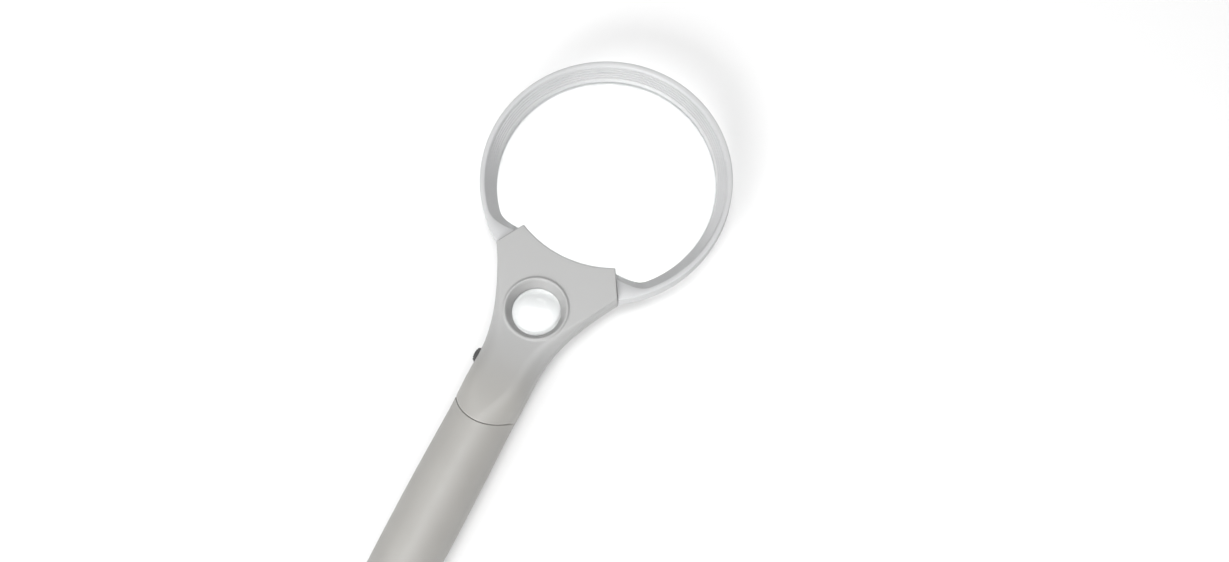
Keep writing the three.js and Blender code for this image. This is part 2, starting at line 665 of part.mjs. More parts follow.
addPart('main_lens', mainLens(), finish(0xf4f8fa, 0.05, 0, acrylic));
addPart('small_lens', smallLens(), finish(0xf4f8fa, 0.05, 0, acrylic));
addPart('lens_ring', lensRing(), finish(RING_GREY, 0.5));
addPart('front_shell', frontShell(), finish(HOUSING_GREY, 0.55));
addPart('rear_shell', rearShell(), finish(HOUSING_GREY, 0.55));
addPart('small_lens_collar', smallLensCollar(), finish(0xe9ebea, 0.4));
addPart('led_window', ledWindow(), finish(0xf2f5f6, 0.2, 0, acrylic));
addPart('led_board', ledBoard(), finish(0x2f6b45, 0.6));
addPart('resistor', resistor(), finish(0x222222, 0.5));
addPart('switch_body', switchBody(), steel(0xa5a9ad));
addPart('switch_slider', switchSlider(), finish(0xd9d6cc, 0.5));
addPart('switch_knob', switchKnob(), finish(0x161616, 0.5));
addPart('battery_cradle', batteryCradle(), finish(0x1d1e20, 0.6));
addPart('contact_tab_positive', contactPlate([0], PLATE_TOP_Y), steel());
addPart('contact_bridge_top', contactPlate([1, 2], PLATE_TOP_Y), steel());
addPart('contact_bridge_bottom', contactPlate([0, 1], PLATE_FOOT_Y), steel());
addPart('contact_strip_negative', negativeStrip(), steel());
addPart('battery_cover', batteryCover(), finish(COVER_GREY, 0.6));
for (let i = 0; i < 3; i++) {
  addPart(`led_${i + 1}`, led(LED_XY[i]), finish(0xf6f7ef, 0.1, 0, acrylic));
  addPart(`battery_cell_${i + 1}`, cell(i), finish(0x8c9096, 0.35, 0.6));
  addPart(`contact_spring_${i + 1}`, contactSpring(i), steel());
}
SCREWS_XY.forEach((xy, i) => addPart(`shell_screw_${i + 1}`, shellScrew(xy), steel(0x6a6d70)));
Object.entries(WIRES).forEach(([name, points], i) =>
  addPart(name, wire(points), finish([0xb02a22, 0xb02a22, 0x1a1a1a][i], 0.6)));

// The origin is the middle of the footprint: lowest point of the grip, half way along the length.
const LOWEST = -(WAIST + BELLY);
group.position.set(0, -(RING_R + HANDLE_END) / 2, -LOWEST);
group.updateMatrixWorld(true);

export default group;
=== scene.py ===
"""Hand-held low vision magnifier: the looks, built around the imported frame.

Shapes are worked out in millimetres about the centre of the large lens, with +Z towards the
viewer and the handle along -Y, and are then put into the frame's metres by new_piece().
"""

import math

import bpy
import numpy as np
from mathutils import Matrix, Vector


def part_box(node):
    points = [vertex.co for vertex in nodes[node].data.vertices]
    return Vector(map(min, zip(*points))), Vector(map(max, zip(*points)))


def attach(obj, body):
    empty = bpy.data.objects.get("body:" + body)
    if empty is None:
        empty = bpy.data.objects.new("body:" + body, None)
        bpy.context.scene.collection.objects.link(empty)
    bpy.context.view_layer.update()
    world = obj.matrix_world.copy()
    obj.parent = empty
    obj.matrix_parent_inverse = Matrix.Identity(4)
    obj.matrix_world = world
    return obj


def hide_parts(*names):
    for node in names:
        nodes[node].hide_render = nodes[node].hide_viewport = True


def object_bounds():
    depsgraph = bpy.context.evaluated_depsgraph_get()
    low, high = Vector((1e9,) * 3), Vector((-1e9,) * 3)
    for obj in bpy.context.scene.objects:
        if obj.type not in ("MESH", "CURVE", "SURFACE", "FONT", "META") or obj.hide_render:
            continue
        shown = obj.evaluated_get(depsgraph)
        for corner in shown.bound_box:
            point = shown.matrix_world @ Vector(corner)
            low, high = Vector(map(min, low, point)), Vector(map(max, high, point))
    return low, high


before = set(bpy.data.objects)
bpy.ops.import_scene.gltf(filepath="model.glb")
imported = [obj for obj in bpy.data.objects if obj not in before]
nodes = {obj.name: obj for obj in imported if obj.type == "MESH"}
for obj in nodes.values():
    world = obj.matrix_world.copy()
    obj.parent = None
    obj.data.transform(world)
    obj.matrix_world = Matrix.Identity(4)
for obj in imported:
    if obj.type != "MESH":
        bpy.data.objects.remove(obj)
cad_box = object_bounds()

# ------------------------------------------------------------------ the frame's own places

MM = 0.001
ring_low, ring_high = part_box("lens_ring")
cover_low, cover_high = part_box("battery_cover")
RING_R = (ring_high.x - ring_low.x) / 2 / MM
CENTRE = Vector((0, ring_high.y - RING_R * MM, (cover_low.z + cover_high.z) / 2))
HANDLE_END = (cover_low.y - CENTRE.y) / MM
FLOOR_Z = cad_box[0][2]

# ------------------------------------------------------------------ driving dimensions, mm

GAP = 0.3
PART_GAP = 0.06  # half the parting line between the two shells
WALL = 1.6

RING_FRONT, RING_REAR = 5.0, -5.2
RIM_R, RIM_ARM_Y = 49.3, -36.4
CLEAR_R, CLEAR_ARM_Y = 44.8, -33.0
LIP_Z = -1.2
FILLET = 4.2
LENS_R, LENS_ARM_Y = 46.2, -34.4
FLANGE = 1.62
FLANGE_SLOPE = 0.5  # steepest rise from the flange to the curved faces
FLANGE_FRONT, FLANGE_REAR = -1.9, -3.9
FRONT_CURVE_R, REAR_CURVE_R = 196.4, 337.0
SPOT_X, SPOT_Y, SPOT_R = -33.2, -3.6, 11.3
SPOT_EDGE, SPOT_CROWN = 0.3, 1.3
RING_GROOVES = 5
GROOVE_DEPTH = 0.55
GROOVES_FROM, GROOVES_SPAN = 0.12, 0.74  # their place on the bevel, as shares of its width
FADE_FROM, FADE_SPAN = 1.35, 0.65  # where the grooves fade, in radians from the ring's top
ARM_FROM, ARM_SPAN, ARM_SWELL = 2.05, 0.5, 0.3  # where the arms swell, and by how much

YOKE_FACE = 7.0
THROAT_Y, THROAT_R = 7.3, 45.1
LENS_IN_YOKE = 1.3  # how far the lens reaches in past the throat's edge
SEAM_TOP = np.array([20.6, -33.0])
SEAM_FOOT = np.array([27.3, -44.3])
WAIST_Y, WAIST, FLARE, BELLY, BELLY_LENGTH = -90.0, 12.5, 0.0069, 0.6, 60
EDGE_R, REAR_EDGE_R, SHOULDER_R = 0.7, 3.6, 7.2  # edges of the yoke and of the shoulder
SOFT_Y, RISE_Y, ROUND_Y = (-52, -82), (-68, -113), (-92, -113)  # where the section changes
END_ROUND, END_WALL = 9.0, 6
COVER_SEAM_Y, COVER_SEAM_R = -98.3, 14.8
NECK_R, NECK_BORE, NECK_TOP, NECK_END = 11.25, 9.9, -102.0, -118.0
COVER_BORE_R = 11.6

EYE_Y, EYE_R, EYE_EDGE_R = -62.0, 9.7, 10.9
SOCKET_CONE_Z, SOCKET_MOUTH_R = 3.3, 12.0  # funnel over the small lens
LIP_R, LIP_TUBE, LIP_RISE = 12.45, 0.72, 0.6  # rounded lip raised round the funnel's mouth
COLLAR_BORE, COLLAR_R, COLLAR_FLANGE, COLLAR_REAR = 9.9, 11.2, 13.0, -9.6
FRONT_BOSS_R, FRONT_BOSS_FOOT = 14.2, 1.7  # walls round the small lens inside the shells
REAR_BOSS_R = 12.8

LED_XY = ((-8.6, -44.0), (0.0, -44.6), (8.6, -44.0))
LED_R = 2.45
WINDOW_IN, WINDOW_OUT, WINDOW_HALF = 49.4, 54.5, 0.232

SOCKET_ALONG, SOCKET_ACROSS, SOCKET_HALF = (3.7, 10.9), (-6.2, 2), 3.9  # rooms for the tongues
CLAMP_HALF, CLAMP_BAND, CLAMP_DEPTH = 17, (0.1, 2.6), -1.6  # lip that presses the lens

KNOB_Y, KNOB_TRAVEL, KNOB_FLAT = -87.8, 3.5, 12.25
POCKET_END, POCKET_HALF = 3.3, 3.1  # flat for the knob's pad, beyond its travel and either side
SLOT_END, SLOT_HALF = 2, 2
SWITCH_RIBS_Y = ((-91.4, -90.2), (-85.6, -84.4))

CELL_R, CELL_LENGTH, CELL_ORBIT = 5.15, 44.5, 6.13
CRADLE_R, CRADLE_TOP, CRADLE_FOOT = 11.25, -120.3, -171.7
JACKET_END = 42.6
BAND_START = 29.5  # where the coloured band of a cell's jacket starts
CELL_END_R = 4.8  # bare metal inside this radius
SCREWS_XY = ((-6.3, -79.3), (6.3, -79.3))
POST_FRONT_R, POST_REAR_R = 3.2, 3.8
PILOT_R, PILOT_END = 1.4, 6.5
SHANK_HOLE_R, HEAD_WELL_R, HEAD_SEAT_Z = 1.5, 2.6, -4.8

STRAIGHT_THROUGH = 0.4  # part of the view that the clear plastics let through unbent

# ------------------------------------------------------------------ meshes


def new_piece(name, points, faces, material, body="housing", sharp=None):
    """Makes an object from points in millimetres about the lens centre. sharp is an angle in
    degrees above which an edge stays crisp."""
    mesh = bpy.data.meshes.new(name)
    place = np.asarray(points, float) * MM + np.array(CENTRE)
    mesh.from_pydata(place.tolist(), [], [list(map(int, f)) for f in faces])
    mesh.validate()
    mesh.shade_smooth()
    if sharp:
        mesh.set_sharp_from_angle(angle=math.radians(sharp))
    mesh.materials.append(material)
    piece = bpy.data.objects.new(name, mesh)
    bpy.context.scene.collection.objects.link(piece)
    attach(piece, body)
    return piece


def stand_for(node):
    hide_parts(node)


def grid_faces(rows, columns, wrap_rows=False, wrap_columns=True, start=0):
    """Quads over a grid of points stored row by row."""
    index = np.arange(rows * columns).reshape(rows, columns) + start
    down = np.roll(index, -1, 0) if wrap_rows else index[1:]
    here = index if wrap_rows else index[:-1]
    if wrap_columns:
        quads = np.stack([here, np.roll(here, -1, 1), np.roll(down, -1, 1), down], -1)
    else:
        quads = np.stack([here[:, :-1], here[:, 1:], down[:, 1:], down[:, :-1]], -1)
    return quads.reshape(-1, 4).tolist()


def turned(profile, segments, centre=(0, 0), along_y=False):
    """A turned solid; profile lists (radius, height) and starts and ends on the axis, or closes."""
    profile = np.asarray(profile, float)
    angle = 2 * np.pi * np.arange(segments) / segments
    closed = profile[0, 0] > 0
    body = profile if closed else profile[1:-1]
    r, h = body[:, :1], body[:, 1:]
    across, up = r * np.cos(angle), r * np.sin(angle)
    height = np.repeat(h, segments, 1)
    if along_y:
        points = np.stack([across + centre[0], height, up + centre[1]], -1).reshape(-1, 3)
    else:
        points = np.stack([across + centre[0], up + centre[1], height], -1).reshape(-1, 3)
    faces = grid_faces(len(body), segments, wrap_rows=closed)
    if closed:
        return points, faces
    poles = []
    for level in (profile[0, 1], profile[-1, 1]):
        pole = (centre[0], level, centre[1]) if along_y else (centre[0], centre[1], level)
        poles.append(pole)
    low, high = len(points), len(points) + 1
    last = (len(body) - 1) * segments
    for k in range(segments):
        n = (k + 1) % segments
        faces.append([low, n, k])
        faces.append([high, last + k, last + n])
    return np.vstack([points, poles]), faces


def rounded(profile, radius, steps=4):
    """Rounds every corner of a turned profile that isn't on the axis, cut back by radius."""
    points = [np.array(p, float) for p in profile]
    closed = points[0][0] > 0
    result = [] if closed else [points[0]]
    last = len(points)
    span = range(last) if closed else range(1, last - 1)
    for i in span:
        before, here, after = points[i - 1], points[i], points[(i + 1) % last]
        a, b = before - here, after - here
        room = 0.45 * min(np.linalg.norm(a), np.linalg.norm(b))
        cut = min(radius, room)
        start = here + a / np.linalg.norm(a) * cut
        end = here + b / np.linalg.norm(b) * cut
        for k in range(steps + 1):
            t = k / steps
            result.append((1 - t) ** 2 * start + 2 * t * (1 - t) * here + t * t * end)
    if not closed:
        result.append(points[-1])
    return [tuple(p) for p in result]


def face_outwards(piece):
    """Turns a closed piece's faces outwards if they face in."""
    mesh = piece.data
    mesh.calc_loop_triangles()
    co = np.empty(len(mesh.vertices) * 3)
    mesh.vertices.foreach_get("co", co)
    tri = np.empty(len(mesh.loop_triangles) * 3, np.int32)
    mesh.loop_triangles.foreach_get("vertices", tri)
    corner = co.reshape(-1, 3)[tri.reshape(-1, 3)]
    if np.einsum("ij,ij->i", corner[:, 0], np.cross(corner[:, 1], corner[:, 2])).sum() < 0:
        mesh.flip_normals()


# ------------------------------------------------------------------ solids from distance fields

EDGE_CORNERS = ((0, 0), (1, 0), (1, 1), (0, 1))


def surface_net(field, low, high, step):
    """Meshes the zero level of field(x, y, z), which is negative inside the solid."""
    low, high = np.array(low, float), np.array(high, float)
    counts = np.ceil((high - low) / step).astype(int) + 1
    axes = [low[i] + step * np.arange(counts[i]) for i in range(3)]
    grid = np.meshgrid(*[a.astype(np.float32) for a in axes], indexing="ij")
    value = field(*grid).astype(np.float32)
    value[value == 0] = 1e-6
    inside = value < 0
    quads, keys, spots = [], [], []
    for axis in range(3):
        ahead = [slice(None)] * 3
        behind = [slice(None)] * 3
        ahead[axis], behind[axis] = slice(1, None), slice(None, -1)
        crosses = inside[tuple(ahead)] != inside[tuple(behind)]
        at = np.argwhere(crosses)
        u, v = [i for i in range(3) if i != axis]
        room = (at[:, u] > 0) & (at[:, v] > 0)
        room &= (at[:, u] < counts[u] - 1) & (at[:, v] < counts[v] - 1)
        at = at[room]
        first = value[tuple(at.T)]
        to = at.copy()
        to[:, axis] += 1
        second = value[tuple(to.T)]
        spot = low + step * at.astype(float)
        spot[:, axis] += step * first / (first - second)
        around = []
        for du, dv in EDGE_CORNERS:
            cell = at.copy()
            cell[:, u] -= du
            cell[:, v] -= dv
            around.append(np.ravel_multi_index(cell.T, counts))
        around = np.stack(around, 1)
        leaves = first < 0
        turn = leaves if axis != 1 else ~leaves
        around[~turn] = around[~turn][:, ::-1]
        quads.append(around)
        keys.append(around.ravel())
        spots.append(np.repeat(spot, 4, 0))
    keys, spots = np.concatenate(keys), np.concatenate(spots)
    place = np.unique(keys, return_inverse=True)[1]
    total = np.stack([np.bincount(place, spots[:, i]) for i in range(3)], 1)
    points = total / np.bincount(place)[:, None]
    faces = place.reshape(-1, 4)
    return settle(field, points, step), faces


def settle(field, points, step):
    """Moves each point onto the zero level, by at most 0.6 of a step."""
    reach = 0.02 * step
    start = points.copy()
    for _ in range(3):
        p = points.astype(float)
        here = field(*p.T)
        slope = np.stack([
            (field(*(p + reach * axis).T) - field(*(p - reach * axis).T)) / (2 * reach)
            for axis in np.eye(3)
        ], 1)
        size = np.maximum((slope**2).sum(1), 0.2)
        points = p - slope * (here / size)[:, None]
        move = points - start
        length = np.linalg.norm(move, axis=1, keepdims=True)
        points = start + move * np.minimum(1, 0.6 * step / np.maximum(length, 1e-9))
    return points


def both(a, b, r=0.0):
    """Overlap of two solids, its edge rounded by r."""
    if r == 0:
        return np.maximum(a, b)
    reach = np.hypot(np.maximum(a + r, 0), np.maximum(b + r, 0))
    return np.minimum(-r, np.maximum(a, b)) + reach


def join(a, b, r=0.0):
    return -both(-a, -b, r)


def cut(a, b, r=0.0):
    return both(a, -b, r)


def slab(v, low, high):
    return np.abs(v - (low + high) / 2) - (high - low) / 2


def brick(x, y, z, low, high, r=0.0):
    return both(both(slab(x, low[0], high[0]), slab(y, low[1], high[1]), r),
                slab(z, low[2], high[2]), r)


def smooth_step(t):
    t = np.clip(t, 0, 1)
    return t * t * (3 - 2 * t)


def lerp(a, b, t):
    return a + (b - a) * t


# ------------------------------------------------------------------ outlines of ring and lens


def arch_radius(angle, r, line_y):
    """Distance from the lens centre to a circle above and a level line across the arms."""
    slope = np.maximum(-np.sin(angle), 1e-6)
    line = -line_y / slope
    h = np.maximum(FILLET - np.abs(r - line), 0) / FILLET
    return np.minimum(r, line) - h * h * FILLET / 4


def throat_radius(angle, r):
    s = np.sin(angle) * THROAT_Y
    return s + np.sqrt(s * s + r * r - THROAT_Y**2)


def lens_radius(angle, grow=0.0):
    arch = arch_radius(angle, LENS_R + grow, LENS_ARM_Y - grow)
    reach = THROAT_R + LENS_IN_YOKE + grow
    throat = np.where(np.sin(angle) < 0, throat_radius(angle, reach), 0)
    return np.minimum(LENS_R + grow, np.maximum(arch, throat))


def dome(r, curve):
    return np.sqrt(curve**2 - r**2) - math.sqrt(curve**2 - CLEAR_R**2)


def lens_rise(x, y, curve):
    """Height of a curved face over the flange, reached by a gentle slope all round."""
    r = np.hypot(x, y)
    room = np.maximum(lens_radius(np.arctan2(y, x)) - FLANGE - r, 0) * FLANGE_SLOPE
    bulge = np.maximum(dome(np.minimum(r, CLEAR_R), curve), 0)
    h = np.maximum(1 - np.abs(room - bulge), 0)
    return np.maximum(np.minimum(room, bulge) - h * h / 4, 0)


def lens_front(x, y):
    return FLANGE_FRONT + lens_rise(x, y, FRONT_CURVE_R)


def lens_rear(x, y):
    return FLANGE_REAR - lens_rise(x, y, REAR_CURVE_R)


# ------------------------------------------------------------------ materials


def node(tree, kind, **inputs):
    made = tree.nodes.new(kind)
    for key, value in inputs.items():
        made.inputs[key.replace("_", " ")].default_value = value
    return made


def surface_material(name, base, roughness, **sockets):
    material = bpy.data.materials.new(name)
    material.use_nodes = True
    principled = material.node_tree.nodes["Principled BSDF"]
    principled.inputs["Base Color"].default_value = (*base, 1)
    principled.inputs["Roughness"].default_value = roughness
    for key, value in sockets.items():
        principled.inputs[key.replace("_", " ")].default_value = value
    return material, material.node_tree, principled


def noise(tree, scale, detail=3.0, stretch=(1, 1, 1)):
    where = tree.nodes.new("ShaderNodeTexCoord")
    mapping = tree.nodes.new("ShaderNodeMapping")
    mapping.inputs["Scale"].default_value = stretch
    texture = node(tree, "ShaderNodeTexNoise", Scale=scale, Detail=detail)
    tree.links.new(where.outputs["Object"], mapping.inputs["Vector"])
    tree.links.new(mapping.outputs["Vector"], texture.inputs["Vector"])
    return texture.outputs["Fac"]


def spread(tree, value, low, high):
    scaled = node(tree, "ShaderNodeMapRange")
    scaled.inputs["From Min"].default_value = 0.3
    scaled.inputs["From Max"].default_value = 0.7
    scaled.inputs["To Min"].default_value = low
    scaled.inputs["To Max"].default_value = high
    tree.links.new(value, scaled.inputs["Value"])
    return scaled.outputs["Result"]


def mix_colour(tree, factor, first, second):
    mixer = tree.nodes.new("ShaderNodeMix")
    mixer.data_type = "RGBA"
    mixer.inputs[6].default_value = (*first, 1)
    mixer.inputs[7].default_value = (*second, 1)
    tree.links.new(factor, mixer.inputs[0])
    return mixer.outputs[2]


def bump(tree, principled, height, strength, distance):
    bumper = node(tree, "ShaderNodeBump", Strength=strength, Distance=distance)
    tree.links.new(height, bumper.inputs["Height"])
    tree.links.new(bumper.outputs["Normal"], principled.inputs["Normal"])


def moulded_plastic(name, base, roughness, other=None, grain=0.12, shade_from=None):
    """Satin moulded plastic: cloudy tone, uneven gloss and a fine spark-eroded grain. Given two
    heights of y, the tone instead turns to the other colour along the handle between them:
    painted shade over the grip."""
    material, tree, principled = surface_material(name, base, roughness)
    other = other or tuple(c * 0.94 for c in base)
    # Painted shade: between the two heights the colour turns darker and warmer along the handle.
    if shade_from:
        where = tree.nodes.new("ShaderNodeTexCoord")
        parts = tree.nodes.new("ShaderNodeSeparateXYZ")
        along = node(tree, "ShaderNodeMapRange")
        along.interpolation_type = "SMOOTHSTEP"
        along.inputs["From Min"].default_value = shade_from[0] * MM + CENTRE.y
        along.inputs["From Max"].default_value = shade_from[1] * MM + CENTRE.y
        tree.links.new(where.outputs["Object"], parts.inputs["Vector"])
        tree.links.new(parts.outputs["Y"], along.inputs["Value"])
        tone = along.outputs["Result"]
    else:
        tone = spread(tree, noise(tree, 45), 0, 1)
    tree.links.new(mix_colour(tree, tone, base, other), principled.inputs["Base Color"])
    gloss = spread(tree, noise(tree, 160, 4), roughness - 0.04, roughness + 0.05)
    tree.links.new(gloss, principled.inputs["Roughness"])
    bump(tree, principled, noise(tree, 2600, 2), grain, 0.00005)
    return material


def clear_acrylic(name, tint=(0.99, 0.995, 0.995), roughness=0.0):
    """Polished acrylic that lets lamps through to what is behind it, and part of the view straight
    through, which real acrylic doesn't: without it, low views show a black patch in the lens."""
    material, tree, principled = surface_material(
        name, tint, roughness, Transmission_Weight=1.0, IOR=1.49)
    scratches = noise(tree, 900, 2, (1, 14, 1))
    bump(tree, principled, scratches, 0.006, 0.00002)
    passing = node(tree, "ShaderNodeBsdfTransparent", Color=(*tint, 1))
    path = tree.nodes.new("ShaderNodeLightPath")
    share = tree.nodes.new("ShaderNodeMath")
    share.operation = "MAXIMUM"
    share.inputs[1].default_value = STRAIGHT_THROUGH
    blend = tree.nodes.new("ShaderNodeMixShader")
    output = tree.nodes["Material Output"]
    tree.links.new(path.outputs["Is Shadow Ray"], share.inputs[0])
    tree.links.new(share.outputs["Value"], blend.inputs["Fac"])
    tree.links.new(principled.outputs["BSDF"], blend.inputs[1])
    tree.links.new(passing.outputs["BSDF"], blend.inputs[2])
    tree.links.new(blend.outputs["Shader"], output.inputs["Surface"])
    return material


def plated_metal(name, base, roughness, stretch=(1, 1, 1)):
    material, tree, principled = surface_material(name, base, roughness, Metallic=1.0)
    dull = tuple(c * 0.8 for c in base)
    tone = spread(tree, noise(tree, 300, 3, stretch), 0, 1)
    tree.links.new(mix_colour(tree, tone, base, dull), principled.inputs["Base Color"])
    gloss = spread(tree, noise(tree, 900, 3, stretch), roughness - 0.06, roughness + 0.08)
    tree.links.new(gloss, principled.inputs["Roughness"])
    bump(tree, principled, noise(tree, 3000, 2, stretch), 0.08, 0.00003)
    return material


COOL_GREY = (0.326, 0.326, 0.324)
# The warm grey below is painted shade: darker and warmer than the housing's own grey, laid over the
# grip.
SHADED_WARM_GREY = (0.308, 0.301, 0.286)
ring_plastic = moulded_plastic("ring_plastic", (0.435, 0.438, 0.443), 0.42)
housing_plastic = moulded_plastic("housing_plastic", COOL_GREY, 0.42, SHADED_WARM_GREY,
                                  shade_from=(-74, -104))
# The battery cover takes the same darker, warmer grey: painted shade over the grip.
cover_plastic = moulded_plastic("cover_plastic", SHADED_WARM_GREY, 0.46)
collar_plastic = moulded_plastic("collar_plastic", (0.9, 0.91, 0.91), 0.3)
black_plastic = moulded_plastic("black_plastic", (0.012, 0.012, 0.012), 0.38, grain=0.2)
cradle_plastic = moulded_plastic("cradle_plastic", (0.018, 0.018, 0.02), 0.5, grain=0.25)
slider_nylon = moulded_plastic("slider_nylon", (0.72, 0.69, 0.6), 0.45)
acrylic = clear_acrylic("acrylic", (0.975, 0.98, 0.98))
frosted_acrylic = clear_acrylic("frosted_acrylic", (0.93, 0.96, 0.97), 0.35)
led_epoxy = clear_acrylic("led_epoxy", (0.99, 0.98, 0.9), 0.02)
contact_steel = plated_metal("contact_steel", (0.72, 0.71, 0.68), 0.28, (1, 9, 1))
screw_steel = plated_metal("screw_steel", (0.35, 0.35, 0.36), 0.38)
red_pvc = moulded_plastic("red_pvc", (0.45, 0.02, 0.015), 0.4)
black_pvc = moulded_plastic("black_pvc", (0.015, 0.015, 0.015), 0.4)
solder_mask = moulded_plastic("solder_mask", (0.02, 0.14, 0.05), 0.28)

# ------------------------------------------------------------------ large lens


def main_lens():
    """Front and rear share one grid of rays from the middle of the bifocal window."""
    rays, rings = 288, 30
    dense = np.linspace(0, 2 * np.pi, 2880, endpoint=False)
    ray = 2 * np.pi * np.arange(rays) / rays
    middle = np.array([SPOT_X, SPOT_Y])

    def reach(radius):
        """Distance from the window's middle to a closed outline, along each ray."""
        around = np.stack([radius * np.cos(dense), radius * np.sin(dense)], 1) - middle
        bearing = np.arctan2(around[:, 1], around[:, 0])
        order = np.argsort(bearing)
        distance = np.linalg.norm(around, axis=1)
        return np.interp((ray + np.pi) % (2 * np.pi) - np.pi, bearing[order], distance[order],
                         period=2 * np.pi)

    edge = reach(lens_radius(dense))
    flange = reach(lens_radius(dense) - FLANGE)
    shoulder = reach(lens_radius(dense) - FLANGE - 0.1)
    window = np.minimum(SPOT_R, shoulder - 0.3)

    def level(distance, height):
        x = SPOT_X + distance * np.cos(ray)
        y = SPOT_Y + distance * np.sin(ray)
        z = height(x, y) if callable(height) else np.full_like(x, height)
        return np.stack([x, y, z], 1)

    def raised(x, y):
        share = np.hypot(x - SPOT_X, y - SPOT_Y) / SPOT_R
        return lens_front(x, y) + SPOT_EDGE + SPOT_CROWN * (1 - share**2)

    shares = 1 - (1 - np.linspace(0, 1, rings)) ** 1.4
    rows = [level(window * share, raised) for share in np.linspace(0.08, 1, 12)]
    outside = window + 0.14
    rows += [level(lerp(outside, shoulder, share), lens_front) for share in shares]
    rows += [level(flange, FLANGE_FRONT), level(edge - 0.15, FLANGE_FRONT)]
    rows += [level(edge, FLANGE_FRONT - 0.15), level(edge, FLANGE_REAR + 0.15)]
    rows += [level(edge - 0.15, FLANGE_REAR), level(flange, FLANGE_REAR)]
    rows += [level(lerp(outside, shoulder, share), lens_rear) for share in shares[::-1]]
    rows += [level(window * share, lens_rear) for share in np.linspace(0.85, 0.1, 6)]
    points = np.vstack(rows)
    faces = grid_faces(len(rows), rays)
    tops = [(SPOT_X, SPOT_Y, raised(SPOT_X, SPOT_Y)), (SPOT_X, SPOT_Y, lens_rear(SPOT_X, SPOT_Y))]
    front_pole, rear_pole = len(points), len(points) + 1
    last = (len(rows) - 1) * rays
    for k in range(rays):
        n = (k + 1) % rays
        faces += [[front_pole, n, k], [rear_pole, last + k, last + n]]
    piece = new_piece("large_bifocal_lens", np.vstack([points, tops]), faces, acrylic, sharp=25)
    face_outwards(piece)
    stand_for("main_lens")


# ------------------------------------------------------------------ ring


def bevel_points(start, end, depth):
    """Bevel from the rim to the lip, with fine grooves cut across it; depth fades per angle."""
    count = RING_GROOVES * 10 + 9
    along = np.linspace(0, 1, count)
    normal = np.stack([end[:, 1] - start[:, 1], start[:, 0] - end[:, 0]], 1)
    normal /= np.linalg.norm(normal, axis=1, keepdims=True)
    inward = np.where(normal[:, :1] > 0, normal, -normal)
    phase = (along - GROOVES_FROM) / GROOVES_SPAN * RING_GROOVES
    wave = np.where((phase > 0) & (phase < RING_GROOVES), 0.5 - 0.5 * np.cos(2 * np.pi * phase), 0)
    line = start[:, None] + (end - start)[:, None] * along[None, :, None]
    return line + inward[:, None] * (depth[:, None] * wave)[..., None]


def lens_ring():
    seam = math.atan2(SEAM_TOP[1] + SEAM_FOOT[1], SEAM_TOP[0] + SEAM_FOOT[0])
    slices = 420
    first, last = seam + 0.002, math.pi - seam - 0.002
    angle = np.linspace(first, last, slices)
    inner = arch_radius(angle, CLEAR_R, CLEAR_ARM_Y)
    rim = arch_radius(angle, RIM_R, RIM_ARM_Y)
    groove = arch_radius(angle, LENS_R + GAP, LENS_ARM_Y - GAP)
    from_top = np.abs(angle - math.pi / 2)
    arm = smooth_step((from_top - ARM_FROM) / ARM_SPAN)
    outer = RING_R + ARM_SWELL * arm
    depth = GROOVE_DEPTH * (1 - smooth_step((from_top - FADE_FROM) / FADE_SPAN))

    def column(r, z):
        r = np.broadcast_to(r, angle.shape)
        return np.stack([r, np.broadcast_to(float(z), angle.shape)], 1)

    quarter = np.linspace(0, math.pi / 2, 5)
    edge_r = 0.45
    columns = [column(outer - edge_r * (1 - math.cos(a)), RING_FRONT - edge_r * (1 - math.sin(a)))
               for a in quarter]
    soft = 0.22
    columns.append(column(rim + soft, RING_FRONT))
    start = np.stack([rim - 0.08, np.full_like(rim, RING_FRONT - 0.14)], 1)
    end = column(inner + 0.06, LIP_Z + 0.08)
    bevel = bevel_points(start, end, depth)
    columns += [bevel[:, i] for i in range(bevel.shape[1])]
    rear_lip = FLANGE_REAR - GAP + 0.05
    front_lip = FLANGE_FRONT + GAP - 0.05
    columns += [column(inner, LIP_Z - 0.05), column(inner, front_lip + 0.05)]
    columns += [column(inner + 0.05, front_lip), column(groove, front_lip)]
    columns += [column(groove, rear_lip), column(inner + 0.05, rear_lip)]
    columns += [column(inner, rear_lip - 0.06), column(inner + 0.12, RING_REAR + 0.5)]
    columns += [column(inner + 0.45, RING_REAR + 0.14), column(inner + 0.8, RING_REAR)]
    back_r = 1.3
    back = outer - 0.5
    columns += [column(back - back_r * (1 - math.sin(a)), RING_REAR + back_r * (1 - math.cos(a)))
                for a in quarter]
    columns += [column(outer - 0.02, -0.12), column(outer - 0.1, -0.02), column(outer, 0.1)]
    section = np.stack(columns, 1)

    hub = np.array([46.4, 0.0])  # middle of the tongue that each arm puts into the yoke
    shrink = np.array([0.46, 0.64])
    tongue_sweep = 0.115

    def ring_slice(at, profile):
        r, z = profile[:, 0], profile[:, 1]
        return np.stack([r * math.cos(at), r * math.sin(at), z], 1)

    def tongue(profile):
        middle = np.array([(profile[:, 0].min() + profile[:, 0].max()) / 2, 0])
        return hub + (profile - middle) * shrink

    right, left = tongue(section[0]), tongue(section[-1])
    rows = [ring_slice(first - tongue_sweep, right), ring_slice(first, right)]
    rows += [ring_slice(a, s) for a, s in zip(angle, section)]
    rows += [ring_slice(last, left), ring_slice(last + tongue_sweep, left)]
    count = section.shape[1]
    points = np.vstack(rows)
    faces = grid_faces(len(rows), count)
    faces.append(list(range(count)))
    faces.append(list(range(len(points) - 1, len(points) - count - 1, -1)))
    piece = new_piece("lens_ring_moulding", points, faces, ring_plastic, sharp=38)
    face_outwards(piece)
    stand_for("lens_ring")


# ------------------------------------------------------------------ yoke and handle


def half_width(y):
    d = y - WAIST_Y
    grip = WAIST + BELLY / 2 * (1 - np.cos(math.pi * d / BELLY_LENGTH))
    return np.where(d > 0, WAIST + FLARE * d * d, grip)


def between(y, span):
    return smooth_step((span[0] - y) / (span[0] - span[1]))


